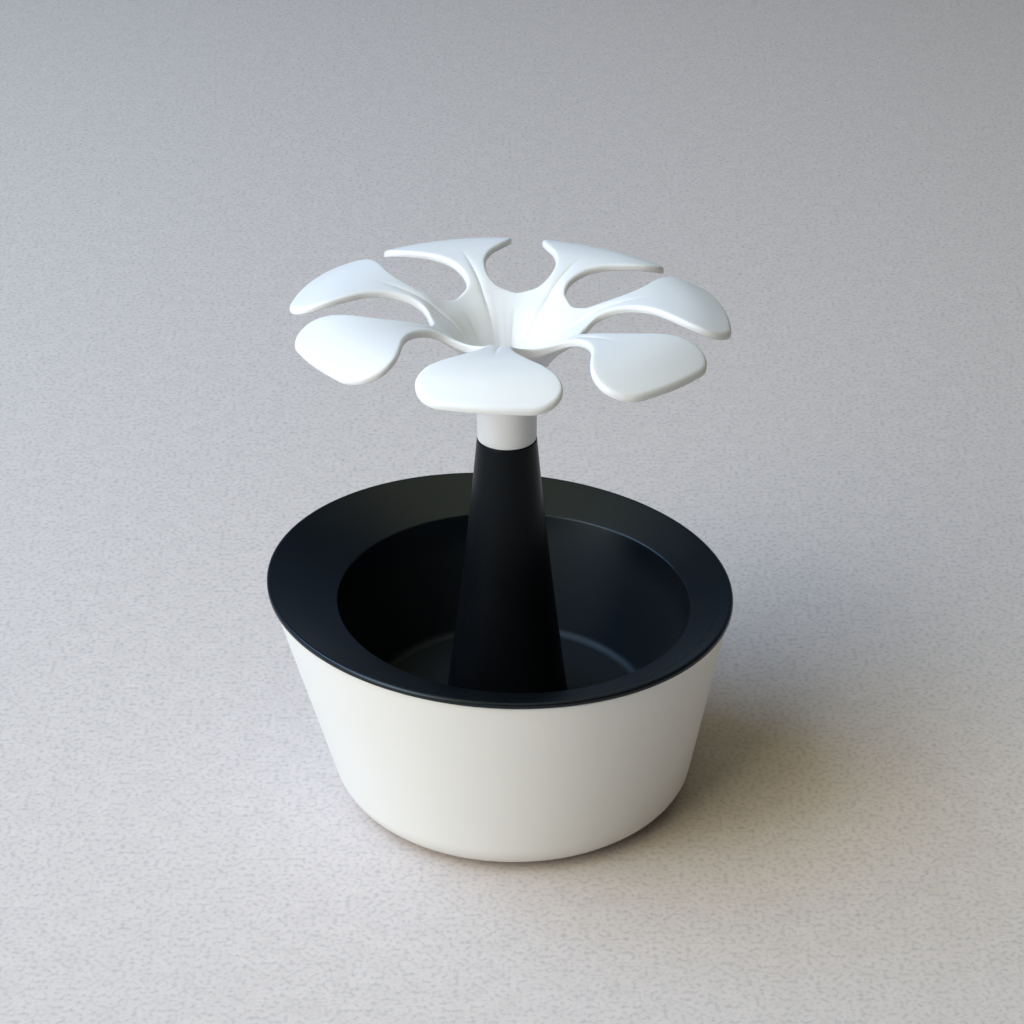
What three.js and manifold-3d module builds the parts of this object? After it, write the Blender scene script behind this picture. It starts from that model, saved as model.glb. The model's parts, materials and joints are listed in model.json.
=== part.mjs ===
// Pen holder: a leaning white pot with a black liner, and a white flower of seven petals
// on a black stem that rises from the liner's floor. The flower turns on the stem and
// pulls off it upwards, and the liner lifts out of the pot with the stem.
// Millimetres, +Z up, the table at z = 0, the front at -Y. The origin lies on the table
// under the middle of the rim, which stands off the middle of the base.

import * as THREE from 'three';
import { mergeVertices } from 'three/addons/utils/BufferGeometryUtils.js';
import Module from 'manifold-3d';

const wasm = await Module();
wasm.setup();

// The pot as a whole
const OPENING_RADIUS = 38;
const FLANGE_WIDTH = 12; // from the opening's edge out to the rim
const RIM_RADIUS = OPENING_RADIUS + FLANGE_WIDTH;
const RIM_HEIGHT = 50.09; // corner of the lip, at the middle of the leaning rim
const RIM_SHIFT = -2.92; // middle of the rim from the middle of the base, along X
const RIM_TILT = 3; // degrees, the left side is the higher one
const RIM_PITCH = 0.48; // degrees, the front is the higher one
const WALL_ANGLE = 13.24; // degrees that the wall flares from upright
const BASE_FILLET = 8; // outer round between the wall and the underside
const TABLE_GAP = 0.3; // air under the base, between the foot pads

// Shell and the lip of the liner that caps it
const SHELL_WALL = 2.5;
const SHELL_FLOOR = 3;
const LIP_EDGE = 1.4; // height of the lip's outer edge up to its corner
const LIP_ROUND = 0.6;
const LIP_OVERHANG = 0.62; // how far the lip stands out past the shell
const SEAT_GAP = 0.3; // between the lip and the shell that it rests on

// Liner
const FLANGE_DROP = 4.85; // the opening's edge lies this far below the rim, at its middle
const OPENING_HEIGHT = RIM_HEIGHT - FLANGE_DROP;
const OPENING_SHIFT = 0;
const OPENING_TILT = 1.5; // degrees, the left side is the higher one
const OPENING_ROUND = 0.5;
const CUP_TAPER = 7; // the cup's floor is this much less in radius than the opening
const CUP_FLOOR_RADIUS = OPENING_RADIUS - CUP_TAPER;
const CUP_FLOOR_HEIGHT = 18.5; // top of the liner's floor
const CUP_FILLET = 2;
const LINER_WALL = 2;
const LINER_FLOOR = 2.5;
const SKIRT_DEPTH = 6; // skirt under the lip, inside the shell
const SKIRT_WALL = 1.8;
const SKIRT_CLEARANCE = 0.3;

// Stem, a hollow cone that stands on the liner's floor
const STEM_SHIFT = -1.46; // stem's axis from the middle of the base, along X
const STEM_FOOT_RADIUS = 13.7;
const STEM_TOP_RADIUS = 6.3;
const STEM_TOP_HEIGHT = 84.3;
const STEM_WAIST = 0.38; // how far the cone's side is drawn in at mid height
const STEM_WALL = 2.4;
const SOCKET_RADIUS = 4.3; // bore in the stem's top for the flower's spigot
const SOCKET_DEPTH = 16;

// Plug in the stem's foot, with the screw and washer that clamp the stem to the liner
const PLUG_RADIUS = 10.2;
const PLUG_HEIGHT = 8;
const PLUG_CLEARANCE = 0.15;
const PLUG_BOSS_RADIUS = 5;
const PLUG_BOSS_CLEARANCE = 0.3;
const CLAMP_RELIEF = 0.3; // the boss stops this far above the liner's underside
const STEM_SCREW = { shank: 2, length: 9, head: 3.6, headHeight: 2.6, slot: 1, slotDepth: 1.3 };
const WASHER_RADIUS = 8;
const WASHER_THICKNESS = 1.2;
const SCREW_CLEARANCE = 0.1; // between a screw and the hole round it
const SCREW_TIP = 0.6; // chamfer round a screw's tip
const SCREW_ROUND = 0.7; // round edge of a screw's head

// Ballast disc on the shell's floor, held by two screws in bosses
const BALLAST_INSET = 20.5; // from the rim's radius
const BALLAST_RADIUS = RIM_RADIUS - BALLAST_INSET;
const BALLAST_HEIGHT = 7;
const BALLAST_EDGE = 0.8; // chamfer round its rims
const BALLAST_SCREW_OFFSET = 18; // each screw from the middle, along Y
const BALLAST_SCREW = { shank: 1.5, length: 6, head: 5.4, headHeight: 2, slot: 0.9, slotDepth: 1 };
const BOSS_RADIUS = 3.8;
const BOSS_CLEARANCE = 0.3;
const BOSS_RELIEF = 0.3; // a boss stops this far under the ballast's top

// Foot pads in pockets in the underside
const FOOT_COUNT = 3;
const FOOT_RADIUS = 6;
const FOOT_THICKNESS = 1.6;
const FOOT_EDGE = 0.3;
const FOOT_CIRCLE = 22; // pads' middles from the middle of the base
const FOOT_CLEARANCE = 0.25;

// Flower
const PETALS = 7;
const FRONT_PETAL_TURN = -5.7; // degrees from straight ahead, towards +X
const NOD_SIDEWAYS = 1.35; // degrees, the left petals are the higher ones
const NOD_FORWARD = 2.55; // degrees, the front petals are the higher ones
const NOD_START = 1.7; // the neck is upright up to this far above the stem's top
const NOD_END = 15.7; // and leans in full from here up
const NECK_RADIUS = 6.22;
const SPIGOT_RADIUS = 4;
const SPIGOT_LENGTH = 14;
const SPIGOT_CHAMFER = 0.6;

// Ring in a groove of the spigot, which grips the stem's socket
const RING_SECTION = 0.5; // radius of its round section
const RING_DROP = 8; // ring's middle below the stem's top
const RING_CLEARANCE = 0.1;
const GROOVE_WIDTH = 1.4;

// Finishes
const SHELL_WHITE = { color: 0xe9e7e2, roughness: 0.45 };
const FLOWER_WHITE = { color: 0xeef2f5, roughness: 0.3 };
const LINER_BLACK = { color: 0x17191b, roughness: 0.5 };
const STEM_BLACK = { color: 0x17191b, roughness: 0.4 };
const PLUG_BLACK = { color: 0x17191b, roughness: 0.6 };
const STEEL = { color: 0x9a9c9e, roughness: 0.35, metalness: 1 };
const IRON = { color: 0x4a4c4f, roughness: 0.6, metalness: 0.8 };
const RUBBER = { color: 0x26272a, roughness: 0.9 };

// Sides of the round pieces and steps along the curved ones
const POT_SIDES = 64;
const FLOWER_SIDES = 70;
const STEM_SIDES = 40;
const SMALL_SIDES = 24;
const RING_SIDES = 8; // round the ring's section
const STEM_STEPS = 10;
const UNDER_STEPS = 10; // along the flower's lower face
const TOP_STEPS = 15; // along its upper face
const OUTLINE_STEPS = 22; // points along one petal's edge
const ROUND_ERROR = 0.04; // facets of a round stay this close to its arc
const CUT_THROUGH = 1; // how far a cutter reaches past what it cuts

// Upper and lower faces of the flower, as radius and height above the stem's top, before the
// outline is cut. The upper one runs down into the funnel and the lower one to the neck.
const FLOWER_TOP = [
  [0, 6.7], [1.9, 7.4], [3.7, 10.1], [5.3, 14.1], [7.3, 18.1], [9.6, 21.4],
  [12.3, 24.3], [15.2, 26.3], [19, 28.75], [25, 30.4], [32, 30.85], [39, 29.75], [47, 26.25],
];
const FLOWER_UNDER = [
  [47, 24.7], [39, 28.2], [32, 29.3], [25, 28.75], [19, 26.95], [15, 24.05],
  [11.6, 21.25], [8.8, 17.9], [7.1, 14.3], [6.35, 10.3],
];

// Half of one petal's edge from the bottom of a gap to the middle of the tip: distance
// along the petal, then distance from its middle line.
const PETAL_EDGE = [
  [15.6, 5], [17.1, 3.25], [19.3, 2.6], [22, 2.8], [25.4, 3.95], [29, 6.65],
  [31.8, 10], [34.95, 13], [38.45, 14.3], [41.7, 13.25], [44.1, 10.45], [45, 6.2],
];
const PETAL_TIP = 45.4;
const GAP_BOTTOM = 15.8; // radius at the bottom of each gap

const radians = THREE.MathUtils.degToRad;
const lerp = THREE.MathUtils.lerp;
const clamp = THREE.MathUtils.clamp;

// Turns a profile of [radius, height] points about the Z axis.
function turned(profile, sides) {
  const points = profile.map(([radius, height]) => new THREE.Vector2(radius, height));
  const geometry = new THREE.LatheGeometry(points, sides);
  return geometry.rotateX(Math.PI / 2);
}

// Closes a profile on itself, for a piece with a hole along its axis.
function closed(profile) {
  return [...profile, profile[0]];
}

// Upright cylinder between two heights.
function post(radius, foot, top) {
  return turned([[0, foot], [radius, foot], [radius, top], [0, top]], SMALL_SIDES);
}

// Profile from its corners, each [radius, height, round]: where a round is given, an arc
// of that radius takes the corner's place.
function rounded(corners) {
  return corners.flatMap(([radius, height, round], index) => {
    if (!round) {
      return [[radius, height]];
    }
    const corner = new THREE.Vector2(radius, height);
    const back = new THREE.Vector2(...corners[index - 1]).sub(corner).normalize();
    const ahead = new THREE.Vector2(...corners[index + 1]).sub(corner).normalize();
    const half = Math.acos(clamp(back.dot(ahead), -1, 1)) / 2;
    const middle = back.clone().add(ahead).setLength(round / Math.sin(half)).add(corner);
    const start = back.multiplyScalar(round / Math.tan(half)).add(corner).sub(middle);
    const end = ahead.multiplyScalar(round / Math.tan(half)).add(corner).sub(middle);
    const turn = Math.atan2(start.cross(end), start.dot(end));
    const steps = Math.ceil(Math.abs(turn) / (2 * Math.acos(1 - ROUND_ERROR / round)));
    return Array.from({ length: steps + 1 }, (_, step) => {
      const point = start.clone().rotateAround(new THREE.Vector2(), (turn * step) / steps);
      return [point.x + middle.x, point.y + middle.y];
    });
  });
}

// Smooth curve through [a, b] points, as more points of the same kind.
function smooth(points, steps) {
  const curve = new THREE.SplineCurve(points.map(([a, b]) => new THREE.Vector2(a, b)));
  return curve.getPoints(steps).map(({ x, y }) => [x, y]);
}

// Solid for joining and cutting.
function solid(geometry) {
  const bare = geometry.clone();
  bare.deleteAttribute('normal');
  bare.deleteAttribute('uv');
  const merged = mergeVertices(bare);
  const index = merged.index.array;
  const triangles = [];
  for (let i = 0; i < index.length; i += 3) {
    const [a, b, c] = [index[i], index[i + 1], index[i + 2]];
    if (a !== b && b !== c && c !== a) {
      triangles.push(a, b, c);
    }
  }
  return new wasm.Manifold(new wasm.Mesh({
    numProp: 3,
    vertProperties: new Float32Array(merged.attributes.position.array),
    triVerts: new Uint32Array(triangles),
  }));
}

// Geometry of a solid.
function geometryOf(manifold) {
  const { vertProperties, triVerts } = manifold.getMesh();
  const geometry = new THREE.BufferGeometry();
  geometry.setAttribute('position', new THREE.BufferAttribute(vertProperties, 3));
  geometry.setIndex(new THREE.BufferAttribute(triVerts, 1));
  return geometry;
}

// Moves every point of a geometry by a rule that changes a vector in place.
function shaped(geometry, rule) {
  const position = geometry.attributes.position;
  const point = new THREE.Vector3();
  for (let i = 0; i < position.count; i++) {
    point.fromBufferAttribute(position, i);
    rule(point);
    position.setXYZ(i, point.x, point.y, point.z);
  }
  geometry.computeVertexNormals();
  return geometry;
}

// A level circle of the pot leans about its own middle, up to the left by slope and up to
// the front by pitch, and moves sideways by shift.
function tip(point, { shift, slope, pitch }) {
  point.z -= slope * point.x + pitch * point.y;
  point.x += shift;
}

const shellFloorTop = TABLE_GAP + SHELL_FLOOR;
const ballastTop = shellFloorTop + BALLAST_HEIGHT;
const ballastScrewPlaces = [-BALLAST_SCREW_OFFSET, BALLAST_SCREW_OFFSET];

// Lean of the shell, which grows from nothing at its floor to the rim's.
function wallLean(height) {
  const share = Math.max(0, (height - shellFloorTop) / (RIM_HEIGHT - shellFloorTop));
  return {
    shift: RIM_SHIFT * share,
    slope: Math.tan(radians(RIM_TILT)) * share,
    pitch: Math.tan(radians(RIM_PITCH)) * share,
  };
}

// Lean of the liner's cup, from the stem's axis at its floor to that of the opening.
function cupLean(height) {
  const share = clamp((height - CUP_FLOOR_HEIGHT) / (OPENING_HEIGHT - CUP_FLOOR_HEIGHT), 0, 1);
  return {
    shift: lerp(STEM_SHIFT, OPENING_SHIFT, share),
    slope: Math.tan(radians(OPENING_TILT)) * share,
    pitch: 0,
  };
}

// Outer radius of the shell's straight wall at a height.
const wallSlope = Math.tan(radians(WALL_ANGLE));
const lipUnderside = RIM_HEIGHT - LIP_EDGE;
const shellTop = lipUnderside - SEAT_GAP;
const wallRadius = (height) => RIM_RADIUS - LIP_OVERHANG - (shellTop - height) * wallSlope;
const innerWallRadius = (height) => wallRadius(height) - SHELL_WALL / Math.cos(radians(WALL_ANGLE));

function footPlace(index) {
  const angle = radians(90 + (360 * index) / FOOT_COUNT);
  return [FOOT_CIRCLE * Math.cos(angle), FOOT_CIRCLE * Math.sin(angle)];
}

function potShell() {
  const body = turned(rounded([
    [0, TABLE_GAP],
    [wallRadius(TABLE_GAP), TABLE_GAP, BASE_FILLET],
    [wallRadius(shellTop), shellTop],
    [innerWallRadius(shellTop), shellTop],
    [innerWallRadius(shellFloorTop), shellFloorTop, BASE_FILLET - SHELL_WALL],
    [0, shellFloorTop],
  ]), POT_SIDES);
  shaped(body, (point) => tip(point, wallLean(point.z)));
  let shell = solid(body);
  const sunk = TABLE_GAP + SHELL_FLOOR / 2; // a boss starts inside the floor that it joins
  const holeFoot = ballastTop - BALLAST_SCREW.length - SCREW_CLEARANCE;
  for (const place of ballastScrewPlaces) {
    const boss = post(BOSS_RADIUS, sunk, ballastTop - BOSS_RELIEF);
    const hole = post(BALLAST_SCREW.shank + SCREW_CLEARANCE, holeFoot, ballastTop);
    boss.translate(0, place, 0);
    hole.translate(0, place, 0);
    shell = shell.add(solid(boss)).subtract(solid(hole));
  }
  for (let i = 0; i < FOOT_COUNT; i++) {
    const pocket = post(FOOT_RADIUS + FOOT_CLEARANCE, TABLE_GAP - CUT_THROUGH, FOOT_THICKNESS);
    pocket.translate(...footPlace(i), 0);
    shell = shell.subtract(solid(pocket));
  }
  return geometryOf(shell);
}

function footPad() {
  return turned([
    [0, 0],
    [FOOT_RADIUS - FOOT_EDGE, 0],
    [FOOT_RADIUS, FOOT_EDGE],
    [FOOT_RADIUS, FOOT_THICKNESS],
    [0, FOOT_THICKNESS],
  ], SMALL_SIDES);
}

function ballast() {
  let disc = solid(turned([
    [0, shellFloorTop],
    [BALLAST_RADIUS - BALLAST_EDGE, shellFloorTop],
    [BALLAST_RADIUS, shellFloorTop + BALLAST_EDGE],
    [BALLAST_RADIUS, ballastTop - BALLAST_EDGE],
    [BALLAST_RADIUS - BALLAST_EDGE, ballastTop],
    [0, ballastTop],
  ], STEM_SIDES));
  for (const place of ballastScrewPlaces) {
    const hole = post(
      BOSS_RADIUS + BOSS_CLEARANCE, shellFloorTop - CUT_THROUGH, ballastTop + CUT_THROUGH,
    );
    hole.translate(0, place, 0);
    disc = disc.subtract(solid(hole));
  }
  return geometryOf(disc);
}

// Slotted screw with its head's seat at z = 0, the head above and the shank below.
function screw({ shank, length, head, headHeight, slot, slotDepth }) {
  const body = turned(rounded([
    [0, -length],
    [shank - SCREW_TIP, -length],
    [shank, -length + SCREW_TIP],
    [shank, 0],
    [head, 0],
    [head, headHeight, SCREW_ROUND],
    [0, headHeight],
  ]), SMALL_SIDES);
  const groove = new THREE.BoxGeometry(2 * (head + CUT_THROUGH), slot, 2 * slotDepth);
  groove.translate(0, 0, headHeight);
  return geometryOf(solid(body).subtract(solid(groove)));
}

// Skirt and lip follow the shell, the cup follows its own lean, and the face of the
// flange blends from one to the other.
function linerLean(point) {
  const cupEdge = OPENING_RADIUS + LINER_WALL;
  const skirtEdge = innerWallRadius(lipUnderside - SKIRT_DEPTH) - SKIRT_CLEARANCE - SKIRT_WALL;
  const share = clamp((Math.hypot(point.x, point.y) - cupEdge) / (skirtEdge - cupEdge), 0, 1);
  const [cup, wall] = [cupLean(point.z), wallLean(point.z)];
  tip(point, {
    shift: lerp(cup.shift, wall.shift, share),
    slope: lerp(cup.slope, wall.slope, share),
    pitch: lerp(cup.pitch, wall.pitch, share),
  });
}

function potLiner() {
  const underside = CUP_FLOOR_HEIGHT - LINER_FLOOR;
  const skirtFoot = lipUnderside - SKIRT_DEPTH;
  const skirtRadius = (height) => innerWallRadius(height) - SKIRT_CLEARANCE;
  const skirtInner = skirtRadius(skirtFoot) - SKIRT_WALL;
  const cupRadius = (height) => THREE.MathUtils.mapLinear(
    height, CUP_FLOOR_HEIGHT, OPENING_HEIGHT, CUP_FLOOR_RADIUS, OPENING_RADIUS,
  );
  const flangeUnderside = (radius) => THREE.MathUtils.mapLinear(
    radius, OPENING_RADIUS, RIM_RADIUS, OPENING_HEIGHT, RIM_HEIGHT,
  ) - LINER_WALL;
  const cupOuter = OPENING_RADIUS + LINER_WALL;
  const boreRadius = PLUG_BOSS_RADIUS + PLUG_BOSS_CLEARANCE;
  return shaped(turned(closed(rounded([
    [boreRadius, underside],
    [cupRadius(underside) + LINER_WALL, underside, CUP_FILLET],
    [cupOuter, flangeUnderside(cupOuter)],
    [skirtInner, flangeUnderside(skirtInner)],
    [skirtInner, skirtFoot],
    [skirtRadius(skirtFoot), skirtFoot],
    [skirtRadius(lipUnderside), lipUnderside],
    [RIM_RADIUS, lipUnderside],
    [RIM_RADIUS, RIM_HEIGHT, LIP_ROUND],
    [OPENING_RADIUS, OPENING_HEIGHT, OPENING_ROUND],
    [CUP_FLOOR_RADIUS, CUP_FLOOR_HEIGHT, CUP_FILLET],
    [boreRadius, CUP_FLOOR_HEIGHT],
  ])), POT_SIDES), linerLean);
}

// Outer radius of the stem at a height: a cone that is slightly drawn in.
function stemRadius(height) {
  const share = (height - CUP_FLOOR_HEIGHT) / (STEM_TOP_HEIGHT - CUP_FLOOR_HEIGHT);
  return lerp(STEM_FOOT_RADIUS, STEM_TOP_RADIUS, share) - 4 * STEM_WAIST * share * (1 - share);
}

function stem() {
  const socketFoot = STEM_TOP_HEIGHT - SOCKET_DEPTH;
  const plugTop = CUP_FLOOR_HEIGHT + PLUG_HEIGHT + PLUG_CLEARANCE;
  const bore = PLUG_RADIUS + PLUG_CLEARANCE;
  const outside = [];
  const inside = [];
  for (let i = 0; i <= STEM_STEPS; i++) {
    const height = lerp(CUP_FLOOR_HEIGHT, STEM_TOP_HEIGHT, i / STEM_STEPS);
    outside.push([stemRadius(height), height]);
    const depth = lerp(socketFoot, plugTop, i / STEM_STEPS);
    inside.push([Math.min(stemRadius(depth) - STEM_WALL, bore), depth]);
  }
  return turned(closed([
    ...outside,
    [SOCKET_RADIUS, STEM_TOP_HEIGHT],
    [SOCKET_RADIUS, socketFoot],
    ...inside,
    [bore, CUP_FLOOR_HEIGHT],
  ]), STEM_SIDES);
}

function stemPlug() {
  const bossFoot = CUP_FLOOR_HEIGHT - LINER_FLOOR + CLAMP_RELIEF;
  const bore = STEM_SCREW.shank + SCREW_CLEARANCE;
  return turned(closed([
    [bore, bossFoot],
    [PLUG_BOSS_RADIUS, bossFoot],
    [PLUG_BOSS_RADIUS, CUP_FLOOR_HEIGHT],
    [PLUG_RADIUS, CUP_FLOOR_HEIGHT],
    [PLUG_RADIUS, CUP_FLOOR_HEIGHT + PLUG_HEIGHT],
    [bore, CUP_FLOOR_HEIGHT + PLUG_HEIGHT],
  ]), STEM_SIDES);
}

function stemWasher() {
  const top = CUP_FLOOR_HEIGHT - LINER_FLOOR;
  const bore = STEM_SCREW.shank + SCREW_CLEARANCE;
  return turned(closed([
    [bore, top - WASHER_THICKNESS],
    [WASHER_RADIUS, top - WASHER_THICKNESS],
    [WASHER_RADIUS, top],
    [bore, top],
  ]), SMALL_SIDES);
}

const ringHeight = STEM_TOP_HEIGHT - RING_DROP;
const ringRadius = SOCKET_RADIUS - RING_CLEARANCE - RING_SECTION;
const grooveRadius = ringRadius - RING_SECTION - RING_CLEARANCE;

function spigotRing() {
  const ring = new THREE.TorusGeometry(ringRadius, RING_SECTION, RING_SIDES, SMALL_SIDES);
  return ring.translate(0, 0, ringHeight);
}

// Closed edge of the whole flower, petal after petal.
function flowerOutline() {
  const points = [];
  const place = (along, across, petal) => {
    const angle = radians(FRONT_PETAL_TURN + (360 * petal) / PETALS);
    points.push(new THREE.Vector3(
      along * Math.sin(angle) + across * Math.cos(angle),
      -along * Math.cos(angle) + across * Math.sin(angle),
      0,
    ));
  };
  for (let petal = 0; petal < PETALS; petal++) {
    place(GAP_BOTTOM, 0, petal - 0.5);
    PETAL_EDGE.forEach(([along, across]) => place(along, -across, petal));
    place(PETAL_TIP, 0, petal);
    PETAL_EDGE.toReversed().forEach(([along, across]) => place(along, across, petal));
  }
  const curve = new THREE.CatmullRomCurve3(points, true, 'centripetal');
  const edge = curve.getPoints(PETALS * OUTLINE_STEPS).slice(0, -1);
  return new THREE.Shape(edge.map(({ x, y }) => new THREE.Vector2(x, y)));
}

// The flower's head leans on its neck: points above it turn about the middle of the bend.
function nod(point) {
  const [start, end] = [STEM_TOP_HEIGHT + NOD_START, STEM_TOP_HEIGHT + NOD_END];
  const middle = (start + end) / 2;
  const share = THREE.MathUtils.smoothstep(point.z, start, end);
  point.z -= middle;
  point.applyAxisAngle(new THREE.Vector3(0, 1, 0), radians(NOD_SIDEWAYS) * share);
  point.applyAxisAngle(new THREE.Vector3(1, 0, 0), -radians(NOD_FORWARD) * share);
  point.z += middle;
}

function flower() {
  const spigotFoot = STEM_TOP_HEIGHT - SPIGOT_LENGTH;
  const onStem = ([radius, height]) => [radius, STEM_TOP_HEIGHT + height];
  const top = FLOWER_TOP.map(onStem);
  const under = FLOWER_UNDER.map(onStem);
  const turnedBody = turned([
    [0, spigotFoot],
    [SPIGOT_RADIUS - SPIGOT_CHAMFER, spigotFoot],
    [SPIGOT_RADIUS, spigotFoot + SPIGOT_CHAMFER],
    [SPIGOT_RADIUS, ringHeight - GROOVE_WIDTH / 2],
    [grooveRadius, ringHeight - GROOVE_WIDTH / 2],
    [grooveRadius, ringHeight + GROOVE_WIDTH / 2],
    [SPIGOT_RADIUS, ringHeight + GROOVE_WIDTH / 2],
    [SPIGOT_RADIUS, STEM_TOP_HEIGHT],
    [NECK_RADIUS, STEM_TOP_HEIGHT],
    ...smooth(under.toReversed(), UNDER_STEPS),
    ...smooth(top.toReversed(), TOP_STEPS),
  ], FLOWER_SIDES);
  const crest = Math.max(...top.map(([, height]) => height));
  const cutter = new THREE.ExtrudeGeometry(flowerOutline(), {
    depth: crest - spigotFoot + 2 * CUT_THROUGH, bevelEnabled: false, curveSegments: 1,
  });
  cutter.translate(0, 0, spigotFoot - CUT_THROUGH);
  return shaped(geometryOf(solid(turnedBody).intersect(solid(cutter))), nod);
}

function piece(name, geometry, finish) {
  const mesh = new THREE.Mesh(geometry, new THREE.MeshStandardMaterial(finish));
  mesh.name = name;
  return mesh;
}

const penHolder = new THREE.Group();

// Pot: everything that stays on the table. Its group's middle is the middle of the base.
const pot = new THREE.Group();
pot.position.x = -RIM_SHIFT;
penHolder.add(pot);
pot.add(piece('pot_shell', potShell(), SHELL_WHITE));
pot.add(piece('ballast_weight', ballast(), IRON));
ballastScrewPlaces.forEach((place, index) => {
  const mesh = piece(`ballast_screw_${index + 1}`, screw(BALLAST_SCREW), STEEL);
  mesh.position.set(0, place, ballastTop);
  pot.add(mesh);
});
for (let i = 0; i < FOOT_COUNT; i++) {
  const mesh = piece(`foot_pad_${i + 1}`, footPad(), RUBBER);
  mesh.position.set(...footPlace(i), 0);
  pot.add(mesh);
}

// Liner and what lifts out with it.
pot.add(piece('pot_liner', potLiner(), LINER_BLACK));
const stemGroup = new THREE.Group();
stemGroup.position.x = STEM_SHIFT;
pot.add(stemGroup);
stemGroup.add(piece('stem', stem(), STEM_BLACK));
stemGroup.add(piece('stem_plug', stemPlug(), PLUG_BLACK));
stemGroup.add(piece('stem_washer', stemWasher(), STEEL));
const stemScrew = piece('stem_screw', screw(STEM_SCREW), STEEL);
stemScrew.rotation.x = Math.PI;
stemScrew.position.z = CUP_FLOOR_HEIGHT - LINER_FLOOR - WASHER_THICKNESS;
stemGroup.add(stemScrew);

// Flower with its ring.
stemGroup.add(piece('spigot_ring', spigotRing(), RUBBER));
stemGroup.add(piece('flower', flower(), FLOWER_WHITE));

export default penHolder;
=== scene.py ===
"""Looks of the pen holder: fine mouldings for the pot, liner, stem and flower, and every finish."""

import cmath
import json
import math

import bmesh
import bpy
import numpy as np
from mathutils import Matrix, Vector
from mathutils.geometry import delaunay_2d_cdt


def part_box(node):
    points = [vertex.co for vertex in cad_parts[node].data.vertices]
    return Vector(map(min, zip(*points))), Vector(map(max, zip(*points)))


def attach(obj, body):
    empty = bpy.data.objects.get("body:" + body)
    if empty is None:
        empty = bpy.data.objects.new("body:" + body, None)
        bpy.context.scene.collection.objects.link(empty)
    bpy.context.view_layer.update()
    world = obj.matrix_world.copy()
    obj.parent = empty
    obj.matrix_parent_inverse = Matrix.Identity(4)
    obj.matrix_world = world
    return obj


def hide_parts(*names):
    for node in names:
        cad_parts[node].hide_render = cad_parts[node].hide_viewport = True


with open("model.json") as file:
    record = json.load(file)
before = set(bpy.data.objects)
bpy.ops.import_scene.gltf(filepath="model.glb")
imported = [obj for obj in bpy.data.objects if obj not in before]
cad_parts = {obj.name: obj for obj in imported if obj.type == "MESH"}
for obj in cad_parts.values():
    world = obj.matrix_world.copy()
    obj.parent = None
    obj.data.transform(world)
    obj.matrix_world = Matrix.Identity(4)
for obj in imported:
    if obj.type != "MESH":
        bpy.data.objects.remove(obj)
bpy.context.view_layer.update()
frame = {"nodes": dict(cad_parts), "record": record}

MM = 0.001  # sizes below are in millimetres, and heights are above the table
TINY = 1e-6


def middle_of(node):
    """X of a CAD node's middle, in millimetres."""
    low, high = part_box(node)
    return (low.x + high.x) / 2 / MM


# Places that the CAD gives
BASE_X = middle_of("ballast_weight")
STEM_X = middle_of("stem")
CUP_FLOOR_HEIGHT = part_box("stem")[0].z / MM
STEM_TOP_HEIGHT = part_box("stem")[1].z / MM

# Pot: the rim leans and stands to the left of the base
RIM_RADIUS = 50.0
RIM_HEIGHT = 50.09
RIM_SHIFT = -BASE_X
RIM_TILT = 3.0  # degrees, up to the left
RIM_PITCH = 0.48  # degrees, up to the front
WALL_ANGLE = 13.24
BASE_FILLET = 8.0
TABLE_GAP = 0.3
SHELL_WALL = 2.5
SHELL_FLOOR = 3.0
SHELL_EDGE_ROUND = 0.3
LIP_EDGE = 1.4
LIP_ROUND = 0.6
LIP_UNDER_ROUND = 0.12
LIP_OVERHANG = 0.62
SEAT_GAP = 0.3
FLOOR_TOP = TABLE_GAP + SHELL_FLOOR
LIP_UNDERSIDE = RIM_HEIGHT - LIP_EDGE
SHELL_TOP = LIP_UNDERSIDE - SEAT_GAP

# Liner
OPENING_RADIUS = 38.0
OPENING_HEIGHT = 45.24
OPENING_TILT = 1.5
OPENING_ROUND = 0.5
CUP_FLOOR_RADIUS = 31.0
CUP_FILLET = 2.0
LINER_WALL = 2.0
LINER_FLOOR = 2.5
SKIRT_DEPTH = 6.0
SKIRT_WALL = 1.8
SKIRT_CLEARANCE = 0.3
LINER_BORE = 5.3

# Bosses and foot pockets of the shell
BOSS_RADIUS = 3.8
BOSS_BORE = 1.6
BOSS_OFFSET = 18.0
BOSS_DROP = 0.3  # below the top of the weight
BOSS_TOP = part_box("ballast_weight")[1].z / MM - BOSS_DROP
SCREW_TIP_GAP = 0.1
BOSS_BORE_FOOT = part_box("ballast_screw_1")[0].z / MM - SCREW_TIP_GAP
FOOT_POCKET_RADIUS = 6.25
FOOT_POCKET_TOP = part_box("foot_pad_1")[1].z / MM
FOOT_CIRCLE = 22.0
FOOT_COUNT = 3

# Stem
STEM_FOOT_RADIUS = 13.7
STEM_TOP_RADIUS = 6.3
STEM_WAIST = 0.38
STEM_WALL = 2.4
STEM_EDGE_ROUND = 0.35
STEM_EDGE_ZONE = 3.0  # below the top, where the smooth profile gives way to the round
SOCKET_RADIUS = 4.3
SOCKET_DEPTH = 16.0
PLUG_BORE = 10.35
PLUG_GAP = 0.15
PLUG_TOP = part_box("stem_plug")[1].z / MM + PLUG_GAP

# Flower
PETALS = 7
FRONT_PETAL_TURN = -5.7  # degrees from straight ahead
NOD_SIDEWAYS = 1.35
NOD_FORWARD = 2.55
NOD_START = STEM_TOP_HEIGHT + 1.7
NOD_END = STEM_TOP_HEIGHT + 15.7
NECK_RADIUS = 6.22
NECK_EDGE_ROUND = 0.3
NECK_DRAFT = 0.02
NECK_BAND = 2.0  # height of the straight part of the neck
SPIGOT_RADIUS = 4.0
SPIGOT_LENGTH = 14.0
SPIGOT_CHAMFER = 0.6
GROOVE_RADIUS = 3.1
GROOVE_WIDTH = 1.4
GROOVE_DROP = 8.0
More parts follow.
